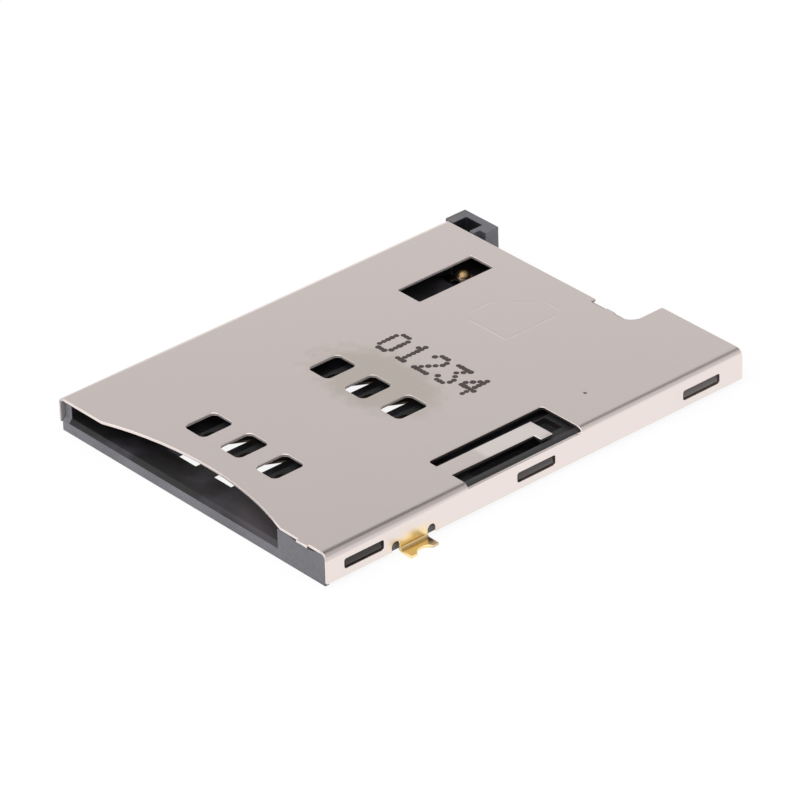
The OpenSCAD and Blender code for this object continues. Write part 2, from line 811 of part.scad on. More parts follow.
// Moving spring of the card switch
module switch_spring() {
    color([0.81, 0.64, 0.36])
        at_switch(90) {
            strip_spring(switch_w, switch_w, floor_t + switch_crown, switch_slope, root_l);
            translate([0, 0, floor_t + switch_crown - strip_t])
                rotate_extrude()
                    dome_section();
        }
}

// Fixed spring of the card switch, under the moving one
module switch_terminal() {
    color([0.81, 0.64, 0.36])
        at_switch(-90)
            strip_spring(switch_w, switch_w, floor_t + fixed_crown, fixed_slope, fixed_root_l);
}

// One leg of the cam track, round at both ends
module track_leg(from, to) {
    run = to - from;
    translate(from) {
        circle(d = track_w);
        rotate(atan2(run[1], run[0]))
            translate([0, -track_w / 2])
                square([norm(run), track_w]);
    }
}

// Closed track that leaves a heart-shaped island
module cam_track() {
    n = len(track_points);
    for (i = [0:n - 1])
        track_leg(track_points[i], track_points[(i + 1) % n]);
}

// Ejector slider: cam plate, arm, lug for the spring and hook behind the card
module slider() {
    color([0.24, 0.24, 0.25]) {
        difference() {
            block([arm_left, cam_front, slider_z], [slider_right, cam_rear, cam_top]);
            translate([pivot_x, tip_y, track_floor])
                linear_extrude(track_d + over)
                    cam_track();
        }
        block([arm_left, cam_rear - over, slider_z], [arm_right, hook_rear, cam_top]);
        block([arm_left, lug_front, slider_z], [slider_right, lug_rear, slider_z + spring_d]);
        block([hook_left, hook_front, floor_t + under_gap], [arm_right, hook_rear, wall_top - under_gap]);
        translate([spring_x, lug_rear + peg_l, spring_z])
            rotate([90, 0, 0])
                cylinder(d = peg_d, h = peg_l + under_gap);
    }
}

// Bent wire between the post's hole and the cam track
module cam_pin() {
    color([0.72, 0.72, 0.73])
    translate([pivot_x, pivot_y, 0]) {
        for (end = [0, 1])
            translate([0, end == 0 ? -pin_bend_r : pin_bend_r - pin_span, pin_z - pin_bend_r])
                rotate([90, 0, 90])
                    rotate([0, 0, 90 * end])
                        rotate_extrude(angle = 90)
                            translate([pin_bend_r, 0])
                                circle(d = pin_d);
        translate([0, -pin_bend_r, pin_z])
            rotate([90, 0, 0])
                cylinder(d = pin_d, h = pin_span - 2 * pin_bend_r);
        translate([0, 0, pivot_floor + pin_end_gap])
            cylinder(d = pin_d, h = pin_z - pin_bend_r - pivot_floor - pin_end_gap);
        translate([0, -pin_span, pin_tip_z])
            cylinder(d = pin_d, h = pin_z - pin_bend_r - pin_tip_z);
    }
}

// Compression spring between the slider's lug and the lobe's rear wall
module eject_spring() {
    steps = spring_turns * turn_steps;
    rings = [
        for (i = [0:steps])
            let (turn = 360 * i / turn_steps, y = spring_front + (spring_rear - spring_front) * i / steps)
            for (k = [0:wire_sides - 1])
                let (a = 360 * k / wire_sides, r = spring_r + wire_d / 2 * cos(a))
                [spring_x + r * cos(turn), y + wire_d / 2 * sin(a), spring_z + r * sin(turn)]
    ];
    sides = [
        for (i = [0:steps - 1], k = [0:wire_sides - 1])
            let (a = i * wire_sides + k, b = i * wire_sides + (k + 1) % wire_sides)
            [a, b, b + wire_sides, a + wire_sides]
    ];
    caps = [
        [for (k = [wire_sides - 1:-1:0]) k],
        [for (k = [0:wire_sides - 1]) steps * wire_sides + k]
    ];
    color([0.66, 0.66, 0.68])
        polyhedron(points = rings, faces = concat(sides, caps), convexity = 10);
}

housing();
shell();
contact(0, 0);  // contact_a1
contact(1, 0);  // contact_a2
contact(2, 0);  // contact_a3
contact(0, 1);  // contact_b1
contact(1, 1);  // contact_b2
contact(2, 1);  // contact_b3
switch_spring();
switch_terminal();
slider();
cam_pin();
eject_spring();
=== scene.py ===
# %% [markdown]
# # A push-push socket for a SIM card
#
# The real object is a flat metal box about 20 mm wide and 26 mm long. A satin steel sheet is folded over a
# black plastic tray. Gold-plated springs show through windows in the sheet, and a sprung slider sits beside
# the card. This lesson dresses the solids of that object: it never moves them, it only gives each one soft
# edges, a finish and the light of a small product studio.

# %% Load the solids
import json
import math

import bmesh
import bpy
from mathutils import Matrix, Vector


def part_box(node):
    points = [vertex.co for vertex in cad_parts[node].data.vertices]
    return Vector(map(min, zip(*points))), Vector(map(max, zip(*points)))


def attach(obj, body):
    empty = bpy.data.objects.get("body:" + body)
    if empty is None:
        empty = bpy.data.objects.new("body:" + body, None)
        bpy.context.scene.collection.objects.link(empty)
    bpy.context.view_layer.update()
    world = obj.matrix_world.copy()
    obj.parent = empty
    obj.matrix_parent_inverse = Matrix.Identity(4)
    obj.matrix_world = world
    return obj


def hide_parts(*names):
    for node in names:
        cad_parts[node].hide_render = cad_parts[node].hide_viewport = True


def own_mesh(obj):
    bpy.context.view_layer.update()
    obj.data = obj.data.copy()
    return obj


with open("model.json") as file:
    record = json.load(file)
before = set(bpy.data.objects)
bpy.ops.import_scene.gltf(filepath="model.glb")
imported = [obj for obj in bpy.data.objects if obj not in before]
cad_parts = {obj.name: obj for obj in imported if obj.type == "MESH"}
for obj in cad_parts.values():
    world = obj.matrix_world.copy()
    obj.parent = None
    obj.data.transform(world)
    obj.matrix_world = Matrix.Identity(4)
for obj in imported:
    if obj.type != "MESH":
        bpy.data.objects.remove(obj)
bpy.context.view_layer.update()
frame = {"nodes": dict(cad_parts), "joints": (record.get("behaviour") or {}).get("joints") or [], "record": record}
MM = 0.001

# %% [markdown]
# ## Where the camera stands
#
# The photograph looks down on the right front corner with a long lens, so the edges hardly converge. A
# camera can be placed by hand until it looks right. Here it was worked out instead: the six windows lie on
# the standard contact grid of a card, so their places in the picture fix the angles, the distance and the
# lens. The angles below are turned into three axes, which are the columns of the camera's matrix.

# %% Camera
AZIMUTH = math.radians(49.266)
ELEVATION = math.radians(31.069)
ROLL = math.radians(-1.627)
DISTANCE = 278.67 * MM
AIM = Vector((3.855, -3.398, 3.421)) * MM
LENS = 271.11
NEAREST = 10 * MM

to_eye = Vector((
    math.sin(AZIMUTH) * math.cos(ELEVATION),
    -math.cos(AZIMUTH) * math.cos(ELEVATION),
    math.sin(ELEVATION),
))
level = Vector((math.cos(AZIMUTH), math.sin(AZIMUTH), 0))
upright = to_eye.cross(level)
right = math.cos(ROLL) * level + math.sin(ROLL) * upright
up = math.cos(ROLL) * upright - math.sin(ROLL) * level
turn = Matrix((right, up, to_eye)).transposed().to_4x4()

camera = bpy.data.objects.new("camera", bpy.data.cameras.new("camera"))
camera.data.lens = LENS
camera.data.clip_start = NEAREST
camera.matrix_world = Matrix.Translation(AIM + DISTANCE * to_eye) @ turn
bpy.context.collection.objects.link(camera)
bpy.context.scene.camera = camera
bpy.context.scene.view_settings.view_transform = "Standard"
print("camera at", [round(v / MM, 1) for v in camera.matrix_world.translation], "mm")

# %% [markdown]
# ## A white table
#
# Product photographs like this one stand on a sheet of white paper. A box with a curved back wall would
# also do, but the camera looks down, so a flat plane fills the picture. It lies a hundredth of a millimetre
# under the part, because two faces in one plane would flicker.

# %% Floor
FLOOR_HALF = 1.0
FLOOR_DROP = 0.01 * MM

around_floor = ((-1, -1), (1, -1), (1, 1), (-1, 1))
corners = [(x * FLOOR_HALF, y * FLOOR_HALF, -FLOOR_DROP) for x, y in around_floor]
floor_mesh = bpy.data.meshes.new("floor")
floor_mesh.from_pydata(corners, [], [(0, 1, 2, 3)])
floor = bpy.data.objects.new("floor", floor_mesh)
bpy.context.collection.objects.link(floor)
print("floor:", 2 * FLOOR_HALF, "m wide")

# %% [markdown]
# ## Paper that burns out
#
# A photographer lights such paper until it is plain white in the picture. More light here would also fall
# on the object. So the paper is a white diffuse surface, on which the object throws its shadow, and for
# rays from the camera and off shiny surfaces most of it is plain white light of strength 1. That gives the
# white background, and the bright side wall that mirrors it.

# %% Paper of the floor
FLOOR_WHITE = (0.9, 0.9, 0.9, 1)
GLOW_SHARE = 0.9
GLOW_STRENGTH = 1.0


def wire(tree, source, target):
    """Joins an output socket to an input socket."""
    tree.links.new(source, target)


def feed(tree, socket, value):
    """Gives an input its value: an output socket is wired to it, anything else is set on it."""
    if isinstance(value, bpy.types.NodeSocket):
        wire(tree, value, socket)
    elif value is not None:
        socket.default_value = value


def math_node(tree, operation, first, second=None, third=None, clamp=False):
    """Adds one Math node; its inputs are sockets or plain numbers."""
    node = tree.nodes.new("ShaderNodeMath")
    node.operation = operation
    node.use_clamp = clamp
    for socket, value in zip(node.inputs, (first, second, third)):
        feed(tree, socket, value)
    return node.outputs[0]


def largest(tree, *values):
    """The largest of several values."""
    result = values[0]
    for value in values[1:]:
        result = math_node(tree, "MAXIMUM", result, value)
    return result


def seen_directly(tree):
    """1 for camera rays and for rays through or off a shiny surface, else 0."""
    path = tree.nodes.new("ShaderNodeLightPath").outputs
    return largest(tree, path["Is Camera Ray"], path["Is Glossy Ray"], path["Is Transmission Ray"])


paper = bpy.data.materials.new("white_paper")
paper.use_nodes = True
tree = paper.node_tree
tree.nodes.remove(tree.nodes["Principled BSDF"])
matt = tree.nodes.new("ShaderNodeBsdfDiffuse")
matt.inputs["Color"].default_value = FLOOR_WHITE
glow = tree.nodes.new("ShaderNodeEmission")
glow.inputs["Strength"].default_value = GLOW_STRENGTH
share = tree.nodes.new("ShaderNodeMixShader")
wire(tree, math_node(tree, "MULTIPLY", seen_directly(tree), GLOW_SHARE), share.inputs["Fac"])
wire(tree, matt.outputs[0], share.inputs[1])
wire(tree, glow.outputs[0], share.inputs[2])
wire(tree, share.outputs[0], tree.nodes["Material Output"].inputs["Surface"])
floor_mesh.materials.append(paper)
print("paper: glow share", GLOW_SHARE, "of strength", GLOW_STRENGTH)

# %% [markdown]
# ## What the steel mirrors
#
# Satin steel has almost no colour of its own: its tone is that of the room it mirrors. In the photograph
# the flat top is mid grey, the long bend runs through a dark line to white, and the side wall is nearly
# white. One room gives all three. It is bright near the horizon, about half as bright at the height that
# the flat top mirrors, and dark above that, where the bend looks. Lamps alone would leave the steel black
# between them, so the world carries ramps over the height of the view direction: one for the wall behind
# the object and one for the wall beside it. The half of the room behind the camera stays evenly light.

# %% Room
ROOM_SCALE = 2.0
BEHIND_OBJECT = (
    (0.0, 0.945), (0.41, 0.945), (0.56, 0.435), (0.70, 0.548), (0.83, 0.113), (0.92, 0.14), (1.0, 0.945),
)
BESIDE_OBJECT = (
    (0.0, 0.99), (0.2, 0.945), (0.5, 0.643), (0.76, 0.624), (0.88, 0.19), (1.0, 0.945),
)
BEHIND_CAMERA = 1.05
BESIDE_FADE = (0.0, 0.35)
REAR_FADE = (-0.3, 0.3)


def split(tree, vector):
    """The X, Y and Z of a vector, as three sockets."""
    node = tree.nodes.new("ShaderNodeSeparateXYZ")
    wire(tree, vector, node.inputs[0])
    return node.outputs["X"], node.outputs["Y"], node.outputs["Z"]


def fade(tree, value, start, end):
    """0 up to start, 1 past end, smooth between; start may be the larger one."""
    node = tree.nodes.new("ShaderNodeMapRange")
    node.interpolation_type = "SMOOTHSTEP"
    node.inputs["From Min"].default_value = start
    node.inputs["From Max"].default_value = end
    wire(tree, value, node.inputs["Value"])
    return node.outputs[0]


def blend_colour(tree, factor, first, second):
    """Mixes two colours; each is a socket or a plain colour."""
    node = tree.nodes.new("ShaderNodeMix")
    node.data_type = "RGBA"
    wire(tree, factor, [s for s in node.inputs if s.type == "VALUE"][0])
    for socket, value in zip([s for s in node.inputs if s.type == "RGBA"], (first, second)):
        feed(tree, socket, value)
    return [s for s in node.outputs if s.type == "RGBA"][0]


def room_tone(tone):
    """A grey of the room as a colour; the ramps hold colours up to 1, so it is scaled down."""
    return (tone / ROOM_SCALE,) * 3 + (1,)


def room_ramp(tree, height, stops):
    """The room's tone over the height of the view direction, from stops of (height, tone)."""
    ramp = tree.nodes.new("ShaderNodeValToRGB")
    ramp.color_ramp.interpolation = "EASE"
    while len(ramp.color_ramp.elements) < len(stops):
        ramp.color_ramp.elements.new(0.5)
    for stop, (position, tone) in zip(ramp.color_ramp.elements, stops):
        stop.position = position
        stop.color = room_tone(tone)
    wire(tree, height, ramp.inputs["Fac"])
    return ramp.outputs["Color"]


world = bpy.data.worlds.new("studio")
bpy.context.scene.world = world
world.use_nodes = True
tree = world.node_tree
to_right, to_rear, height = split(tree, tree.nodes.new("ShaderNodeTexCoord").outputs["Generated"])
behind = room_ramp(tree, height, BEHIND_OBJECT)
beside = room_ramp(tree, height, BESIDE_OBJECT)
rear_half = blend_colour(tree, fade(tree, to_right, *BESIDE_FADE), behind, beside)
room = blend_colour(tree, fade(tree, to_rear, *REAR_FADE), room_tone(BEHIND_CAMERA), rear_half)
around = tree.nodes["Background"]
around.inputs["Strength"].default_value = ROOM_SCALE
wire(tree, room, around.inputs["Color"])
print("room:", len(BEHIND_OBJECT), "tones behind the object,", len(BESIDE_OBJECT), "beside it")

# %% [markdown]
# ## One soft lamp
#
# A small product table has a wide soft box overhead, a little in front. A point lamp would do, but it
# throws hard shadows into the windows. One square area lamp gives the soft light, and it is weak, because
# the room already lights the part at a plain level.

# %% Lamp
LAMP_PLACE = Vector((0.04, -0.10, 0.32))
LAMP_WIDTH = 0.5
LAMP_POWER = 0.8

lamp = bpy.data.lights.new("overhead", "AREA")
lamp.size = LAMP_WIDTH
lamp.energy = LAMP_POWER
overhead = bpy.data.objects.new("overhead", lamp)
overhead.location = LAMP_PLACE
overhead.rotation_euler = (-LAMP_PLACE).to_track_quat("-Z", "Y").to_euler()
bpy.context.collection.objects.link(overhead)
print("lamp:", LAMP_POWER, "W,", LAMP_WIDTH, "m wide")

# %% [markdown]
# ## Uneven skins and rub marks
#
# No real surface is even, so two effects come back in most of the finishes, and each is a node group with
# named sockets. Fine mottle breaks up a surface at the scale of its grain, with a broad part for slow
# changes. Rubbed marks are short faint lines along one direction, as handling leaves them. A scanned
# texture could do both, but noise needs no file and has no seams. Both read the place on the part in
# millimetres, so a value of 0.1 means a tenth of a millimetre.

# %% Mottle and rub marks
NUMBER = "NodeSocketFloat"
VECTOR = "NodeSocketVector"
BROAD_SCALE = 0.25
RUB_STRETCH = (1.0, 0.06, 1.0)
RUB_LINES = (0.56, 0.72)
RUB_PLACES = (0.5, 0.7)
RUB_PLACE_SCALE = 0.5


def new_group(name, inputs, outputs):
    """An empty shader group; inputs are (name, socket type, value) and outputs are names of numbers."""
    group = bpy.data.node_groups.new(name, "ShaderNodeTree")
    for socket_name, kind, value in [("Place", VECTOR, (0, 0, 0))] + inputs:
        socket = group.interface.new_socket(socket_name, in_out="INPUT", socket_type=kind)
        socket.default_value = value
    for socket_name in outputs:
        group.interface.new_socket(socket_name, in_out="OUTPUT", socket_type=NUMBER)
    return group, group.nodes.new("NodeGroupInput").outputs, group.nodes.new("NodeGroupOutput").inputs


def vector_node(tree, operation, first, second=None):
    """Adds one Vector Math node and returns its outputs."""
    node = tree.nodes.new("ShaderNodeVectorMath")
    node.operation = operation
    for socket, value in zip(node.inputs, (first, second)):
        feed(tree, socket, value)
    return node.outputs


def noise(tree, place, scale, detail=2.0):
    """Noise from 0 to 1; scale is in features per millimetre."""
    node = tree.nodes.new("ShaderNodeTexNoise")
    node.inputs["Detail"].default_value = detail
    wire(tree, place, node.inputs["Vector"])
    feed(tree, node.inputs["Scale"], scale)
    return node.outputs["Fac"]


def make_mottle():
    """Fine unevenness, with a broad and a fine part."""
    group, given, result = new_group("fine_mottle", [
        ("Grain", NUMBER, 0.1), ("Broad", NUMBER, 0.3),
    ], ["Height", "Tone"])
    fine = noise(group, given["Place"], math_node(group, "DIVIDE", 1.0, given["Grain"]), detail=3.0)
    wide = noise(group, given["Place"], BROAD_SCALE, detail=4.0)
    change = math_node(group, "SUBTRACT", wide, fine)
    wire(group, fine, result["Height"])
    wire(group, math_node(group, "MULTIPLY_ADD", change, given["Broad"], fine), result["Tone"])
    return group


def make_rubs():
    """Short faint lines along Y, as left by handling in a tray."""
    group, given, result = new_group("rubbed_marks", [
        ("Spacing", NUMBER, 0.2), ("Share", NUMBER, 0.35),
    ], ["Mask"])
    drawn = vector_node(group, "MULTIPLY", given["Place"], RUB_STRETCH)[0]
    lines = noise(group, drawn, math_node(group, "DIVIDE", 1.0, given["Spacing"]))
    places = noise(group, given["Place"], RUB_PLACE_SCALE)
    both = math_node(group, "MULTIPLY", fade(group, lines, *RUB_LINES), fade(group, places, *RUB_PLACES))
    wire(group, math_node(group, "MULTIPLY", both, given["Share"]), result["Mask"])
    return group


mottle = make_mottle()
rubs = make_rubs()
print("groups:", mottle.name, rubs.name)

# %% [markdown]
# ## Masks at a place on the part
#
# Stains, plating and worn spots each lie at a known place. They could be painted on an unwrapped picture,
# but a mask worked out from the place stays sharp at any distance. Two shapes are enough. A soft patch is a
# blurred ellipsoid whose edge can be made ragged. A soft box is 1 inside a box and fades out within a short
# way.

# %% Patch and box
PATCH_FADE = (1.0, 0.55)
RAGGED_SCALE = 1.2


def make_patch():
    """Mask that is 1 in the middle of an ellipsoid and fades to 0 at its edge."""
    group, given, result = new_group("soft_patch", [
        ("Middle", VECTOR, (0, 0, 0)), ("Reach", VECTOR, (1, 1, 1)), ("Ragged", NUMBER, 0.0),
    ], ["Mask"])
    offset = vector_node(group, "SUBTRACT", given["Place"], given["Middle"])[0]
    scaled = vector_node(group, "DIVIDE", offset, given["Reach"])[0]
    far = vector_node(group, "LENGTH", scaled)["Value"]
    wander = math_node(group, "SUBTRACT", noise(group, given["Place"], RAGGED_SCALE, detail=3.0), 0.5)
    uneven = math_node(group, "MULTIPLY_ADD", wander, given["Ragged"], far)
    wire(group, fade(group, uneven, *PATCH_FADE), result["Mask"])
    return group


def make_box():
    """Mask that is 1 inside a box and fades to 0 just outside it."""
    group, given, result = new_group("soft_box", [
        ("Low", VECTOR, (0, 0, 0)), ("High", VECTOR, (1, 1, 1)), ("Soft", NUMBER, 0.03),
    ], ["Mask"])
    below = vector_node(group, "SUBTRACT", given["Low"], given["Place"])[0]
    above = vector_node(group, "SUBTRACT", given["Place"], given["High"])[0]
    outside = largest(group, *split(group, vector_node(group, "MAXIMUM", below, above)[0]))
    beyond = math_node(group, "DIVIDE", outside, given["Soft"])
    wire(group, math_node(group, "SUBTRACT", 1.0, beyond, clamp=True), result["Mask"])
    return group


patch = make_patch()
box = make_box()
print("groups:", patch.name, box.name)

# %% [markdown]
# ## What every finish starts with
#
# Each finish is a Principled shader that reads the place on the part in millimetres, uses some of the
# groups and lays colours over each other, as coats of paint. These steps repeat, so they are short
# functions. The sheet and the tray are alike on both sides, so a place can also be folded to the right
# half, and one mask then serves the left and the right.

# %% Material helpers


def new_material(name):
    """A material with its Principled shader, and the place on the part in millimetres."""
    material = bpy.data.materials.new(name)
    material.use_nodes = True
    tree = material.node_tree
    metres = tree.nodes.new("ShaderNodeTexCoord").outputs["Object"]
    place = vector_node(tree, "MULTIPLY", metres, (1 / MM,) * 3)[0]
    return material, tree, tree.nodes["Principled BSDF"].inputs, place


def use_group(tree, group, place, **values):
    """Places a group in a material and sets its inputs by name."""
    node = tree.nodes.new("ShaderNodeGroup")
    node.node_tree = group
    wire(tree, place, node.inputs["Place"])
    for name, value in values.items():
        node.inputs[name].default_value = value
    return node.outputs


def masks_at(tree, group, place, spots):
    """One mask for each named spot; a spot holds the group's inputs."""
    return {name: use_group(tree, group, place, **spot)["Mask"] for name, spot in spots.items()}


def folded(tree, place):
    """The place with its X made positive, so that both sides read as the right one."""
    x, y, z = split(tree, place)
    node = tree.nodes.new("ShaderNodeCombineXYZ")
    for socket, value in zip(node.inputs, (math_node(tree, "ABSOLUTE", x), y, z)):
        wire(tree, value, socket)
    return node.outputs[0]


def add_share(tree, base, value, gain):
    """base + value * gain."""
    return math_node(tree, "MULTIPLY_ADD", value, gain, base)


def uneven_roughness(tree, skin, middle, spread):
    """Roughness that varies with the skin's tone around a middle value."""
    return add_share(tree, middle - spread / 2, skin["Tone"], spread)


def paint(tree, colour, layers):
    """Lays colours over each other; a layer is (mask, strength, colour)."""
    for mask, strength, tint in layers:
        colour = blend_colour(tree, math_node(tree, "MULTIPLY", mask, strength), colour, tint)
    return colour


def bump(tree, height, depth, shader):
    """Feeds a height from 0 to 1 into the shader's normal; depth is in millimetres."""
    node = tree.nodes.new("ShaderNodeBump")
    node.inputs["Distance"].default_value = depth * MM
    wire(tree, height, node.inputs["Height"])
    wire(tree, node.outputs[0], shader["Normal"])


print("helpers ready; a place of 1 is", MM, "m")

# %% [markdown]
# ## Where the sheet differs from plain steel
#
# The shell is stainless sheet with a satin skin. Both solder tabs were dipped in gold, which creeps a
# little up the wall around them and is worn at the rear prong, and a painted shade darkens the fold of
# each tab. A stain lies round the second row of windows, and the bent part of the latch finger is painted
# lighter as a painted reflection. The front stub is torn where it was broken from its carrier strip, and
# its lower edge is painted dark, partly for the torn face and partly as painted shade in the gap under it.
# The bend is darker towards the front. Each is a patch or a box at its place in millimetres. Those in the
# second table lie on both sides.

# %% Spots of the sheet
shell_low, shell_high = (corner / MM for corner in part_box("shell"))
TAB_X = 9.6
TAB_Y = -7.745
STUB_X = 8.05
SHEET_SPOTS = {
    "stain": {"Middle": (-0.25, -1.3, 1.8), "Reach": (4.75, 2.75, 0.5), "Ragged": 0.6},
    "finger": {"Middle": (8.1, -1.3, 1.78), "Reach": (1.2, 4.4, 0.4)},
    "torn_and_shade": {"Middle": (STUB_X, shell_low.y, 1.62), "Reach": (0.7, 0.15, 0.1)},
    "speck": {"Middle": (7.35, 5.03, 1.8), "Reach": (0.13, 0.1, 0.1), "Ragged": 0.3},
}
SIDE_SPOTS = {
    "tab": {"Middle": (TAB_X + 0.5, TAB_Y, 0.1), "Reach": (1.6, 1.6, 1.0), "Ragged": 0.1},
    "halo": {"Middle": (TAB_X, TAB_Y, 0.3), "Reach": (0.8, 2.2, 1.0), "Ragged": 0.4},
    "worn": {"Middle": (TAB_X + 0.6, TAB_Y + 1.1, 0.1), "Reach": (0.9, 0.9, 0.5), "Ragged": 0.6},
    "crease_shade": {"Middle": (TAB_X + 0.05, TAB_Y, 0.2), "Reach": (0.3, 1.6, 0.2)},
    "darker_front_bend": {"Middle": (9.45, -13, 1.66), "Reach": (0.35, 13, 0.35)},
}
SHEET_BOXES = {
    "cut_out": {"Low": (6.75, -4.5, 1.5), "High": (9.7, 2.8, 1.79)},
    "dull_inside": {"Low": (-9.5, -13, 0.1), "High": (-9.4, -12.7, 1.6)},
}
places = len(SHEET_SPOTS) + len(SIDE_SPOTS) + len(SHEET_BOXES)
print("sheet:", places, "places; tabs at", TAB_X, TAB_Y, "mm")

# %% [markdown]
# ## Cut edges and the pressed outline
#
# A stamped edge is torn and matt, so it does not mirror the room. It is found by the direction of its face:
# it stands upright in the flat top, behind the arch. A plain card outline with one cut corner is pressed
# into the top. It could be a groove in the solid, but it is only a few thousandths of a millimetre deep and
# partly rubbed out, so a thin line in the bump is enough.

# %% Edges and outline
LEVEL_FADE = (0.2, 0.5)
TOP_SIDE_FADE = (9.25, 9.2)
TOP_UNDER_FADE = (1.58, 1.6)
ARCH_FADE = (-11.5, -11.0)
OUTLINE_MIDDLE = (-0.42, 7.58, 0)
OUTLINE_HALF = (1.55, 1.87)
OUTLINE_CUT = 1.86
OUTLINE_LINE = 0.05
OUTLINE_KEPT = (0.44, 0.56)
OUTLINE_GAPS = 0.7


def level_faces(tree):
    """1 where the surface faces up or down, 0 on upright faces."""
    _, _, upward = split(tree, tree.nodes.new("ShaderNodeNewGeometry").outputs["Normal"])
    return fade(tree, math_node(tree, "ABSOLUTE", upward), *LEVEL_FADE)


def sheared_edges(tree, place, level_face):
    """Mask of the upright cut edges in the flat top, behind the arch."""
    x, y, z = split(tree, place)
    inboard = fade(tree, math_node(tree, "ABSOLUTE", x), *TOP_SIDE_FADE)
    in_top = math_node(tree, "MULTIPLY", fade(tree, z, *TOP_UNDER_FADE), inboard)
    behind_arch = math_node(tree, "MULTIPLY", in_top, fade(tree, y, *ARCH_FADE))
    return math_node(tree, "MULTIPLY", behind_arch, math_node(tree, "SUBTRACT", 1.0, level_face))


def card_outline(tree, place):
    """Mask of a thin broken line round a card shape with one cut corner, seen from above."""
    x, y, _ = split(tree, vector_node(tree, "SUBTRACT", place, OUTLINE_MIDDLE)[0])
    side = math_node(tree, "SUBTRACT", math_node(tree, "ABSOLUTE", x), OUTLINE_HALF[0])
    end = math_node(tree, "SUBTRACT", math_node(tree, "ABSOLUTE", y), OUTLINE_HALF[1])
    cut = math_node(tree, "SUBTRACT", math_node(tree, "SUBTRACT", y, x), sum(OUTLINE_HALF) - OUTLINE_CUT)
    off_line = math_node(tree, "ABSOLUTE", largest(tree, side, end, cut))
    line = fade(tree, off_line, OUTLINE_LINE, 0.3 * OUTLINE_LINE)
    return math_node(tree, "MULTIPLY", line, fade(tree, noise(tree, place, OUTLINE_GAPS), *OUTLINE_KEPT))


print("outline:", [2 * half for half in OUTLINE_HALF], "mm, corner cut by", OUTLINE_CUT, "mm")

# %% [markdown]
# ## Satin steel
#
# The colour of the sheet is a warm light grey, and what the eye reads as shading is the room it mirrors. So
# the finish is plain metal with a satin roughness, and the spots are laid over it as coats, each with its
# strength. Cut edges are half metal and rougher. Walls of the cut-out are painted nearly black as painted
# shade, because they face each other across a narrow gap, and the inner corner of the left wall is dull.

# %% Steel sheet
STEEL = (0.860, 0.764, 0.734, 1)
STAINED = (0.656, 0.590, 0.524, 1)
FINGER_REFLECTION = (1.0, 0.92, 0.89, 1)
GOLD = (1.0, 0.78, 0.40, 1)
SHEARED = (0.42, 0.38, 0.37, 1)
TORN_SPECK_AND_SHADE = (0.22, 0.18, 0.17, 1)
CUT_OUT_SHADE = (0.05, 0.042, 0.04, 1)
WORN_TAB = (0.60, 0.49, 0.42, 1)
CREASE_SHADE = (0.50, 0.33, 0.15, 1)
DARKER_FRONT_BEND = (0.625, 0.556, 0.535, 1)
DULL_INSIDE = (0.26, 0.25, 0.257, 1)
STEEL_ROUGHNESS = 0.25
STAIN_ROUGHER = 0.06
SHEARED_ROUGHER = 0.35
RUBBED_ROUGHER = -0.2
SHEARED_METAL = 0.5
FINGER_FADE = (-2.3, -1.9)
STEEL_DEPTH = 0.00015
PRESSED_DEPTHS = -40.0


def make_steel():
    """Satin sheet with gold tabs, a stain, cut edges and a pressed outline."""
    material, tree, shader, place = new_material("satin_steel")
    skin = use_group(tree, mottle, place, Grain=0.12, Broad=0.6)
    spot = masks_at(tree, patch, place, SHEET_SPOTS)
    side = masks_at(tree, patch, folded(tree, place), SIDE_SPOTS)
    inside = masks_at(tree, box, place, SHEET_BOXES)
    level_face = level_faces(tree)
    sheared = sheared_edges(tree, place, level_face)
    bent_part = fade(tree, split(tree, place)[1], *FINGER_FADE)

    colour = paint(tree, STEEL, [
        (spot["stain"], 0.8, STAINED),
        # painted reflection: the bent part of the latch finger is painted lighter
        (math_node(tree, "MULTIPLY", spot["finger"], bent_part), 1.0, FINGER_REFLECTION),
        (side["halo"], 0.17, GOLD),
        (side["tab"], 1.0, GOLD),
        (sheared, 1.0, SHEARED),
        # partly painted shade: the lower edge of the torn stub is darkened for the gap under it; the speck is a
        # dark mark
        (largest(tree, spot["torn_and_shade"], spot["speck"]), 1.0, TORN_SPECK_AND_SHADE),
        # painted shade: the walls of the cut-out are painted nearly black
        (math_node(tree, "MULTIPLY", sheared, inside["cut_out"]), 1.0, CUT_OUT_SHADE),
        (side["worn"], 0.7, WORN_TAB),
        # painted shade in the fold of each solder tab
        (side["crease_shade"], 0.6, CREASE_SHADE),
        # the bend is made darker towards the front
        (side["darker_front_bend"], 0.8, DARKER_FRONT_BEND),
        (inside["dull_inside"], 1.0, DULL_INSIDE),
    ])
    wire(tree, colour, shader["Base Color"])
    metal = add_share(tree, 1.0, sheared, SHEARED_METAL - 1.0)
    wire(tree, math_node(tree, "SUBTRACT", metal, inside["dull_inside"], clamp=True), shader["Metallic"])

    rubbed = use_group(tree, rubs, place, Spacing=0.15, Share=0.12)["Mask"]
    rough = uneven_roughness(tree, skin, STEEL_ROUGHNESS, 0.04)
    rough = add_share(tree, rough, spot["stain"], STAIN_ROUGHER)
    rough = add_share(tree, rough, sheared, SHEARED_ROUGHER)
    rough = add_share(tree, rough, math_node(tree, "MULTIPLY", rubbed, level_face), RUBBED_ROUGHER)
    wire(tree, rough, shader["Roughness"])
    pressed = card_outline(tree, place)
    bump(tree, add_share(tree, skin["Height"], pressed, PRESSED_DEPTHS), STEEL_DEPTH, shader)
    return material


steel = make_steel()
print("steel sheet:", len(steel.node_tree.nodes), "nodes")

# %% [markdown]
# ## Contact strip and spring wire
#
# The contacts and the switch are stamped from bronze strip, and only the spot that touches is plated with
# gold. The spot is the highest part of each spring, so a height parts gold from bronze, one for the
# contacts and one for the switch. A mask by place would need one entry for each spring. The pin and the
# eject spring are bright drawn wire. All of them are metal with rub marks along the strip.

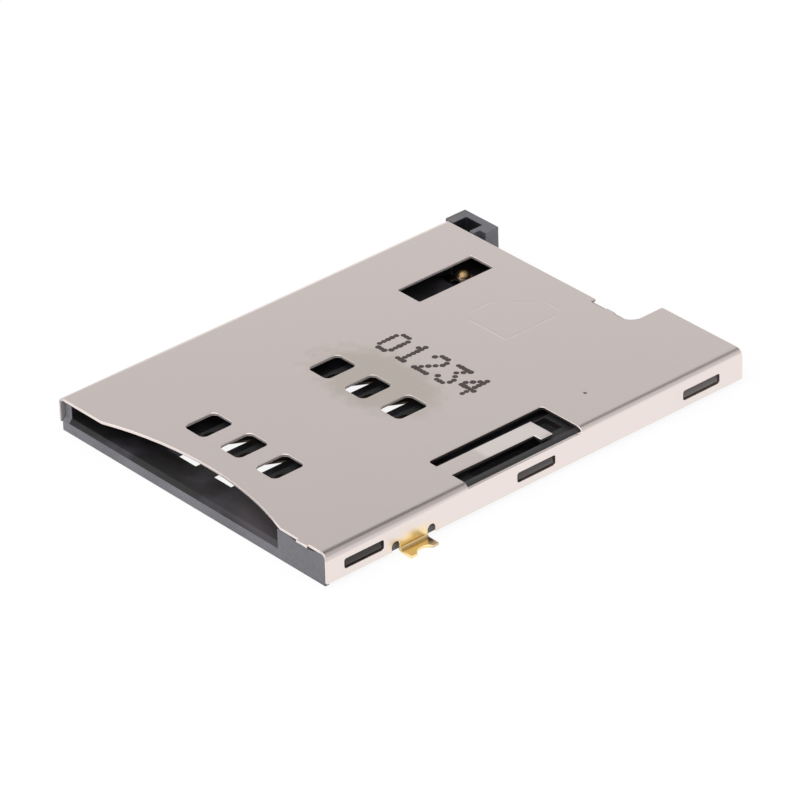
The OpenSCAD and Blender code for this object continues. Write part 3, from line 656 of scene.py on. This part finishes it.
# %% Strip and wire
STRIP_GOLD = ((0.23, 0.15, 0.068, 1), (0.40, 0.275, 0.14, 1))
STRIP_BROWN = ((0.17, 0.13, 0.10, 1), (0.26, 0.20, 0.16, 1))
WIRE_GREY = ((0.50, 0.49, 0.48, 1), (0.66, 0.65, 0.64, 1))
CONTACT_GOLD_Z = 1.08
SWITCH_GOLD_Z = 1.12
GOLD_EDGE = 0.04
STRIP_ROUGHNESS = 0.31
GOLD_ROUGHER = 0.08
WIRE_ROUGHNESS = 0.22
METAL_SPREAD = 0.1
METAL_DEPTH = 0.001


def finish_metal(tree, shader, place, skin, colour, rough, rubbed_rougher):
    """Feeds a metal's colour, its roughness with rub marks and its fine bump."""
    rubbed = use_group(tree, rubs, place, Spacing=0.06, Share=0.6)["Mask"]
    wire(tree, colour, shader["Base Color"])
    shader["Metallic"].default_value = 1.0
    wire(tree, add_share(tree, rough, rubbed, rubbed_rougher), shader["Roughness"])
    bump(tree, skin["Height"], METAL_DEPTH, shader)


def make_wire():
    """Bright drawn wire."""
    material, tree, shader, place = new_material("drawn_wire")
    skin = use_group(tree, mottle, place, Grain=0.06, Broad=0.5)
    colour = blend_colour(tree, skin["Tone"], *WIRE_GREY)
    rough = uneven_roughness(tree, skin, WIRE_ROUGHNESS, METAL_SPREAD)
    finish_metal(tree, shader, place, skin, colour, rough, 0.2)
    return material


def make_strip(name, gold_from):
    """Bronze strip, gold above the given height in millimetres."""
    material, tree, shader, place = new_material(name)
    skin = use_group(tree, mottle, place, Grain=0.08, Broad=0.5)
    plated = fade(tree, split(tree, place)[2], gold_from - GOLD_EDGE, gold_from)
    bare = blend_colour(tree, skin["Tone"], *STRIP_BROWN)
    gold = blend_colour(tree, skin["Tone"], *STRIP_GOLD)
    rough = uneven_roughness(tree, skin, STRIP_ROUGHNESS, METAL_SPREAD)
    rough = add_share(tree, rough, plated, GOLD_ROUGHER)
    finish_metal(tree, shader, place, skin, blend_colour(tree, plated, bare, gold), rough, 0.1)
    return material


drawn_wire = make_wire()
contact_strip = make_strip("contact_strip", CONTACT_GOLD_Z)
switch_strip = make_strip("switch_strip", SWITCH_GOLD_Z)
print("metals:", drawn_wire.name, contact_strip.name, switch_strip.name)

# %% [markdown]
# ## Where the tray is matt
#
# The tray is one moulding of glass-filled plastic. Its outside was moulded against an eroded tool face and
# is matt grey. Its inside, which the card slides on, is smooth, and it is painted nearly black as painted
# shade, because the sheet covers it. Two materials would need the faces sorted by hand. Boxes at known
# places part them instead: the front face, the sides, the toes under the walls, the block at the rear with
# its pocket and notch, and the end of the left wall.

# %% Places of the tray
FAR = 20
UNDER = -1
ABOVE = 3
FACE_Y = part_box("housing")[0].y / MM
TRAY_BOXES = {
    "face": {"Low": (-FAR, -FAR, UNDER), "High": (FAR, FACE_Y + 0.005, ABOVE), "Soft": 0.015},
    "lit_ledge": {"Low": (9.04, -FAR, 1.5), "High": (FAR, FAR, ABOVE), "Soft": 0.05},
    "block": {"Low": (-FAR, 11.4, UNDER), "High": (-7.1, FAR, ABOVE)},
    "block_top": {"Low": (-FAR, 11.4, 1.785), "High": (-7.1, FAR, ABOVE), "Soft": 0.01},
    "pocket": {"Low": (-9.02, 11, 0), "High": (-7.83, 12.345, 1.77)},
    "notch": {"Low": (-7.57, 11, 0), "High": (-7, 11.915, 1.77)},
    "wall_end": {"Low": (-FAR, -FAR, UNDER), "High": (-8.96, -12.735, ABOVE)},
}
TRAY_SIDES = {
    "side": {"Low": (9.41, -FAR, UNDER), "High": (FAR, FAR, ABOVE), "Soft": 0.02},
    "toe": {"Low": (9.25, -FAR, UNDER), "High": (FAR, FAR, 0.42), "Soft": 0.05},
}
TRAY_SPOTS = {
    "lip": {"Middle": (5.6, -11.6, 0.75), "Reach": (4.5, 2.6, 0.4)},
    "crevice_shade": {"Middle": (8.0, FACE_Y, 1.6), "Reach": (1.0, 0.3, 0.1), "Ragged": 0.6},
}
places = len(TRAY_BOXES) + len(TRAY_SIDES) + len(TRAY_SPOTS)
print("tray:", places, "places; front face at", round(FACE_Y, 2), "mm")

# %% [markdown]
# ## Moulded plastic and ink
#
# Matt plastic scatters light, so its faces look dark grey rather than black, with a cloudy mottle. The
# inside is painted nearly black as painted shade, with smudges, and it is painted lighter as painted light
# on the lip at the mouth and on the ledge beside the slider. The sides, seen through the slots, are painted
# darker as shade under the walls, less so to the rear. The slider is the same stuff, painted darker still
# as painted shade, because it lies deep under the sheet. The ink of the code is a thin matt film.

# %% Plastic and ink
TRAY_GREY = ((0.018, 0.018, 0.023, 1), (0.268, 0.266, 0.294, 1))
TRAY_SIDE_SHADE = ((0.045, 0.038, 0.038, 1), (0.12, 0.105, 0.105, 1))
TRAY_INSIDE_SHADE = (0.014, 0.013, 0.014, 1)
TRAY_SMUDGE = (0.036, 0.033, 0.041, 1)
TRAY_LEDGE_LIGHT = (0.032, 0.030, 0.031, 1)
TRAY_LIP_LIGHT = (0.053, 0.047, 0.053, 1)
SLIDER_SHADE_GREY = ((0.016, 0.016, 0.016, 1), (0.024, 0.024, 0.024, 1))
INK_GREY = ((0.044, 0.031, 0.030, 1), (0.074, 0.055, 0.054, 1))
TRAY_ROUGHNESS = 0.48
SLIDER_ROUGHNESS = 0.55
INK_ROUGHNESS = 0.6
TRAY_GLOSS = 0.3
SLIDER_GLOSS = 0.5
INK_GLOSS = 0.25
SMUDGE_SCALE = 0.6
SMUDGE_FADE = (0.42, 0.72)
SIDE_LIGHT_RAMP = (-13.0, 11.0)
TRAY_DEPTH = 0.004
MOULDED_DEPTH = 0.006


def matt_skin(tree, part, side, spot):
    """Mask of the matt outside of the tray; its pocket, notch and front crevice keep the dark inside colour as
    painted shade.
    """
    # painted shade: the pocket and half the notch keep the dark inside colour, and the block's top is made a
    # little darker
    hollow_shade = add_share(tree, part["pocket"], part["notch"], 0.5)
    hollow_shade = add_share(tree, hollow_shade, part["block_top"], 0.15)
    block = math_node(tree, "SUBTRACT", part["block"], hollow_shade, clamp=True)
    outside = largest(tree, part["face"], side["side"], block, side["toe"], part["wall_end"])
    # painted shadow: the crevice under the sheet's front edge keeps the dark inside colour
    return math_node(tree, "SUBTRACT", outside, spot["crevice_shade"], clamp=True)


def make_tray():
    """Matt grey outside; smooth inside in painted shade, with painted light on the ledge and lip."""
    material, tree, shader, place = new_material("moulded_tray")
    part = masks_at(tree, box, place, TRAY_BOXES)
    side = masks_at(tree, box, folded(tree, place), TRAY_SIDES)
    spot = masks_at(tree, patch, place, TRAY_SPOTS)
    matt = matt_skin(tree, part, side, spot)
    skin = use_group(tree, mottle, place, Grain=0.12, Broad=0.6)

    bared = largest(tree, side["toe"], part["wall_end"])
    in_slots = math_node(tree, "SUBTRACT", side["side"], bared, clamp=True)
    # painted shade: the sides seen through the slots are painted darker, and lighter towards the rear
    side_shade = blend_colour(tree, fade(tree, split(tree, place)[1], *SIDE_LIGHT_RAMP), *TRAY_SIDE_SHADE)
    outside = blend_colour(tree, in_slots, blend_colour(tree, skin["Tone"], *TRAY_GREY), side_shade)
    # painted shade: the inside is painted nearly black; painted light: the ledge and the lip are painted lighter
    inside = paint(tree, TRAY_INSIDE_SHADE, [
        (fade(tree, noise(tree, place, SMUDGE_SCALE, detail=4.0), *SMUDGE_FADE), 1.0, TRAY_SMUDGE),
        (part["lit_ledge"], 1.0, TRAY_LEDGE_LIGHT),
        (spot["lip"], 1.0, TRAY_LIP_LIGHT),
    ])
    wire(tree, blend_colour(tree, matt, inside, outside), shader["Base Color"])
    shader["Specular IOR Level"].default_value = TRAY_GLOSS
    wire(tree, uneven_roughness(tree, skin, TRAY_ROUGHNESS, 0.12), shader["Roughness"])
    bump(tree, math_node(tree, "MULTIPLY", skin["Height"], matt), TRAY_DEPTH, shader)
    return material


def make_moulded(name, tones, roughness, grain, gloss):
    """A plain matt skin between two tones."""
    material, tree, shader, place = new_material(name)
    skin = use_group(tree, mottle, place, Grain=grain, Broad=0.4)
    wire(tree, blend_colour(tree, skin["Tone"], *tones), shader["Base Color"])
    shader["Specular IOR Level"].default_value = gloss
    wire(tree, uneven_roughness(tree, skin, roughness, 0.16), shader["Roughness"])
    bump(tree, skin["Height"], MOULDED_DEPTH, shader)
    return material


finishes = {
    "shell_sheet": steel,
    "housing_plastic": make_tray(),
    # painted shade: the slider is painted darker than the tray, because it lies deep under the sheet
    "slider_plastic": make_moulded("shaded_slider", SLIDER_SHADE_GREY, SLIDER_ROUGHNESS, 0.05, SLIDER_GLOSS),
    "contact_strip": contact_strip,
    "spring_wire": drawn_wire,
}
ink = make_moulded("code_ink", INK_GREY, INK_ROUGHNESS, 0.08, INK_GLOSS)
print("finishes:", sorted(finishes), "and", ink.name, switch_strip.name)

# %% [markdown]
# ## Soft edges on every solid
#
# Stamped sheet has a rolled-over edge and a moulding has small radii, and these thin lines of light are
# much of what makes a small part look real. The solids come as loose triangles, so a copy is merged first,
# and its flat faces are joined into whole ones. Then a Bevel modifier rounds each edge sharper than the
# given angle. Its loop slide is off, because it would let points cross at the corners of the windows. The
# copy stays at the origin, rides on the body of its solid and stands for it.

# %% Dress the solids
EDGE_ANGLE = math.radians(20)
FLAT_ANGLE = math.radians(0.05)
MERGE = 0.0001 * MM
EDGE_SEGMENTS = 3
FLAT_FACE_WEIGHT = 100
EDGE_WIDTH = {
    "shell_sheet": 0.025,
    "housing_plastic": 0.03,
    "slider_plastic": 0.04,
    "contact_strip": 0.02,
    "spring_wire": 0.04,
}
slot_of = {part["node"]: part["material_slot"] for part in frame["record"]["subparts"]}
members_of = frame["record"]["behaviour"]["bodies"]
body_of = {node: body for body, members in members_of.items() for node in members}


def merged_copy(node):
    """A new object with the node's mesh, its doubles merged and its flat faces joined."""
    mesh = frame["nodes"][node].data.copy()
    mesh.name = node + "_finished"
    work = bmesh.new()
    work.from_mesh(mesh)
    bmesh.ops.remove_doubles(work, verts=work.verts, dist=MERGE)
    bmesh.ops.dissolve_limit(work, angle_limit=FLAT_ANGLE, verts=work.verts, edges=work.edges)
    work.to_mesh(mesh)
    work.free()
    mesh.materials.clear()
    piece = bpy.data.objects.new(node + "_finished", mesh)
    bpy.context.collection.objects.link(piece)
    return piece


def soften_edges(piece, width):
    """Rounds the sharp edges and keeps the flat faces flat in the shading."""
    piece.data.shade_smooth()
    piece.data.set_sharp_from_angle(angle=EDGE_ANGLE)
    edge = piece.modifiers.new("soft_edges", "BEVEL")
    edge.width = width * MM
    edge.segments = EDGE_SEGMENTS
    edge.use_clamp_overlap = False
    edge.loop_slide = False
    edge.limit_method = "ANGLE"
    edge.angle_limit = EDGE_ANGLE
    flat = piece.modifiers.new("flat_faces", "WEIGHTED_NORMAL")
    flat.weight = FLAT_FACE_WEIGHT
    flat.keep_sharp = True


def seat(piece, node):
    """The piece stands for the node, moves with its body and takes its slot's finish."""
    piece.data.materials.append(switch_strip if node == "switch_spring" else finishes[slot_of[node]])
    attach(piece, body_of[node])
    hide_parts(node)


SPRING = "eject_spring"
for node in frame["nodes"]:
    if node == SPRING:
        continue
    piece = merged_copy(node)
    soften_edges(piece, EDGE_WIDTH[slot_of[node]])
    seat(piece, node)
    print("dressed", node, "with", len(piece.data.polygons), "faces")

# %% [markdown]
# ## A helix by rule
#
# The eject spring is a helix of wire with closed ends. A Screw modifier could sweep it, but a helix follows
# a rule, so Geometry Nodes place a line's points on it: the turn grows with the place along the line, and
# the advance eases at both ends, where the coils touch. The sizes are inputs of the tree.

# %% Coil tree
WIRE_SIDES = 10
EASED_SHARE = 0.55


def node_tree(name, inputs):
    """An empty Geometry Nodes tree with these named inputs and one geometry output."""
    tree = bpy.data.node_groups.new(name, "GeometryNodeTree")
    tree.interface.new_socket("Geometry", in_out="INPUT", socket_type="NodeSocketGeometry")
    for socket_name, kind in inputs:
        tree.interface.new_socket(socket_name, in_out="INPUT", socket_type=kind)
    tree.interface.new_socket("Geometry", in_out="OUTPUT", socket_type="NodeSocketGeometry")
    return tree, tree.nodes.new("NodeGroupInput").outputs, tree.nodes.new("NodeGroupOutput").inputs


def helix_point(tree, given):
    """The place of a point of the line on the helix along Y."""
    along = tree.nodes.new("GeometryNodeSplineParameter").outputs["Factor"]
    angle = math_node(tree, "MULTIPLY", math_node(tree, "MULTIPLY", along, given["Coils"]), 2 * math.pi)
    eased = math_node(tree, "MULTIPLY", fade(tree, along, 0.0, 1.0), EASED_SHARE)
    advance = math_node(tree, "ADD", eased, math_node(tree, "MULTIPLY", along, 1 - EASED_SHARE))
    centred = math_node(tree, "SUBTRACT", advance, 0.5)
    spot = tree.nodes.new("ShaderNodeCombineXYZ")
    radius = given["Coil Radius"]
    wire(tree, math_node(tree, "MULTIPLY", math_node(tree, "COSINE", angle), radius), spot.inputs["X"])
    wire(tree, math_node(tree, "MULTIPLY", centred, given["Length"]), spot.inputs["Y"])
    wire(tree, math_node(tree, "MULTIPLY", math_node(tree, "SINE", angle), radius), spot.inputs["Z"])
    return vector_node(tree, "ADD", spot.outputs[0], given["Middle"])[0]


def finish_tree(tree, geometry, given, result):
    """Makes real geometry of what a tree grew and gives it its finish."""
    real = tree.nodes.new("GeometryNodeRealizeInstances")
    dressed = tree.nodes.new("GeometryNodeSetMaterial")
    wire(tree, geometry, real.inputs[0])
    wire(tree, real.outputs[0], dressed.inputs["Geometry"])
    wire(tree, given["Finish"], dressed.inputs["Material"])
    wire(tree, dressed.outputs[0], result["Geometry"])


def make_coil_tree():
    """A round wire swept along a helix."""
    tree, given, result = node_tree("coil_spring", [
        ("Coils", NUMBER), ("Coil Radius", NUMBER), ("Wire Radius", NUMBER), ("Length", NUMBER),
        ("Middle", VECTOR), ("Rings", "NodeSocketInt"), ("Finish", "NodeSocketMaterial"),
    ])
    line = tree.nodes.new("GeometryNodeCurvePrimitiveLine")
    points = tree.nodes.new("GeometryNodeResampleCurve")
    wire(tree, line.outputs[0], points.inputs["Curve"])
    wire(tree, given["Rings"], points.inputs["Count"])
    bent = tree.nodes.new("GeometryNodeSetPosition")
    wire(tree, points.outputs[0], bent.inputs["Geometry"])
    wire(tree, helix_point(tree, given), bent.inputs["Position"])
    ring = tree.nodes.new("GeometryNodeCurvePrimitiveCircle")
    ring.inputs["Resolution"].default_value = WIRE_SIDES
    wire(tree, given["Wire Radius"], ring.inputs["Radius"])
    swept = tree.nodes.new("GeometryNodeCurveToMesh")
    swept.inputs["Fill Caps"].default_value = True
    wire(tree, bent.outputs[0], swept.inputs["Curve"])
    wire(tree, ring.outputs[0], swept.inputs["Profile Curve"])
    smooth = tree.nodes.new("GeometryNodeSetShadeSmooth")
    wire(tree, swept.outputs[0], smooth.inputs[0])
    finish_tree(tree, smooth.outputs[0], given, result)
    return tree


coil_tree = make_coil_tree()
print("coil tree:", len(coil_tree.nodes), "nodes")

# %% [markdown]
# ## The eject spring
#
# The spring fills the box of its solid, so its radius and length come from there. The tree runs once, and
# its result is kept as a plain mesh. How far the spring would close when the slider goes in is worked out
# from the joint and printed.

# %% Eject spring
COILS = 10.0
RINGS_PER_COIL = 28
WIRE = 0.15 * MM


def grown(name, tree, mesh, values):
    """Runs a Geometry Nodes tree on a mesh and returns the result as a plain mesh object."""
    seed = bpy.data.objects.new(name, mesh)
    bpy.context.collection.objects.link(seed)
    modifier = seed.modifiers.new("grow", "NODES")
    modifier.node_group = tree
    for item in tree.interface.items_tree:
        if item.in_out == "INPUT" and item.name in values:
            modifier[item.identifier] = values[item.name]
    bpy.context.view_layer.update()
    result = bpy.data.meshes.new_from_object(seed.evaluated_get(bpy.context.evaluated_depsgraph_get()))
    seed.modifiers.remove(modifier)
    seed.data = result
    return seed


low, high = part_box(SPRING)
middle = (low + high) / 2
coil = grown("eject_spring_finished", coil_tree, bpy.data.meshes.new("seed"), {
    "Coils": COILS,
    "Coil Radius": (high.z - low.z - WIRE) / 2,
    "Wire Radius": WIRE / 2,
    "Length": high.y - low.y - WIRE,
    "Middle": middle,
    "Rings": int(COILS * RINGS_PER_COIL),
    "Finish": finishes[slot_of[SPRING]],
})
slide = next(joint for joint in frame["joints"] if joint["name"] == "slider_slide")
fixed_end = slide["deforming_nodes"][0]["fixed_end_y_m"]
travel = slide["range_m"][1]
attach(coil, body_of[SPRING])
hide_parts(SPRING)
room_at_rest = fixed_end - low.y
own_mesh(coil)
closed = round((room_at_rest - travel) / room_at_rest, 2)
print("spring:", len(coil.data.polygons), "faces, closes to", closed)

# %% [markdown]
# ## The printed code
#
# A five-figure code is printed on the top in dots of dark ink. The figures here are plain ones, nought to
# four. Text could be set in a font, but a printer of this kind fires single dots on a grid of five by
# seven, and the stepped strokes show it. So a small dot font is written out, and each mark becomes a point.

# %% Places of the dots
DOT_FONT = {
    "0": (".###.", "#...#", "#...#", "#...#", "#...#", "#...#", ".###."),
    "1": ("..#..", ".##..", "..#..", "..#..", "..#..", "..#..", ".###."),
    "2": (".###.", "#...#", "....#", "...#.", "..#..", ".#...", "#####"),
    "3": ("#####", "...#.", "..#..", "...#.", "....#", "#...#", ".###."),
    "4": ("...#.", "..##.", ".#.#.", "#..#.", "#####", "...#.", "...#."),
}
CODE = "01234"
CODE_LEFT = -2.75
CODE_BASE = 0.85
FIGURE_STEP = 1.38
DOT_STEP = Vector((0.21, 0.265))


def code_points():
    """The place of every dot of the code, in metres on the shell's top."""
    spots = []
    for figure, mark in enumerate(CODE):
        for row, line in enumerate(reversed(DOT_FONT[mark])):
            for column, dot in enumerate(line):
                if dot == "#":
                    x = CODE_LEFT + figure * FIGURE_STEP + column * DOT_STEP.x
                    spots.append(Vector((x, CODE_BASE + row * DOT_STEP.y, shell_high.z)) * MM)
    return spots


spots = code_points()
print("code:", len(spots), "dots for", len(CODE), "figures")

# %% [markdown]
# ## Dots of ink
#
# A jet leaves drops of slightly different size, which run into each other along a stroke. Discs could be
# set one by one in a loop, but they repeat, so Geometry Nodes put a thin disc of ink on every point and
# vary its size by a seeded random value. The film is thinner than a hair.

# %% Printed code
DOT_WIDTH = 0.31
DOT_SIDES = 14
DOT_SIZES = (0.85, 1.1)
DOT_SEED = 4
INK_FILM = 0.004


def make_dot_tree():
    """A thin disc on every point, in slightly different sizes."""
    tree, given, result = node_tree("ink_dots", [
        ("Dot Radius", NUMBER), ("Film", NUMBER), ("Finish", "NodeSocketMaterial"),
    ])
    disc = tree.nodes.new("GeometryNodeMeshCylinder")
    disc.inputs["Vertices"].default_value = DOT_SIDES
    wire(tree, given["Dot Radius"], disc.inputs["Radius"])
    wire(tree, given["Film"], disc.inputs["Depth"])
    size = tree.nodes.new("FunctionNodeRandomValue")
    size.data_type = "FLOAT"
    size.inputs["Seed"].default_value = DOT_SEED
    for socket, limit in zip([s for s in size.inputs if s.type == "VALUE"], DOT_SIZES):
        socket.default_value = limit
    spread = tree.nodes.new("GeometryNodeInstanceOnPoints")
    wire(tree, given["Geometry"], spread.inputs["Points"])
    wire(tree, disc.outputs["Mesh"], spread.inputs["Instance"])
    wire(tree, [s for s in size.outputs if s.type == "VALUE"][0], spread.inputs["Scale"])
    finish_tree(tree, spread.outputs[0], given, result)
    return tree


spot_mesh = bpy.data.meshes.new("code_spots")
spot_mesh.from_pydata(spots, [], [])
code = grown("printed_code", make_dot_tree(), spot_mesh, {
    "Dot Radius": DOT_WIDTH * MM / 2,
    "Film": INK_FILM * MM,
    "Finish": ink,
})
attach(code, "socket")
print("ink:", len(code.data.polygons), "faces")
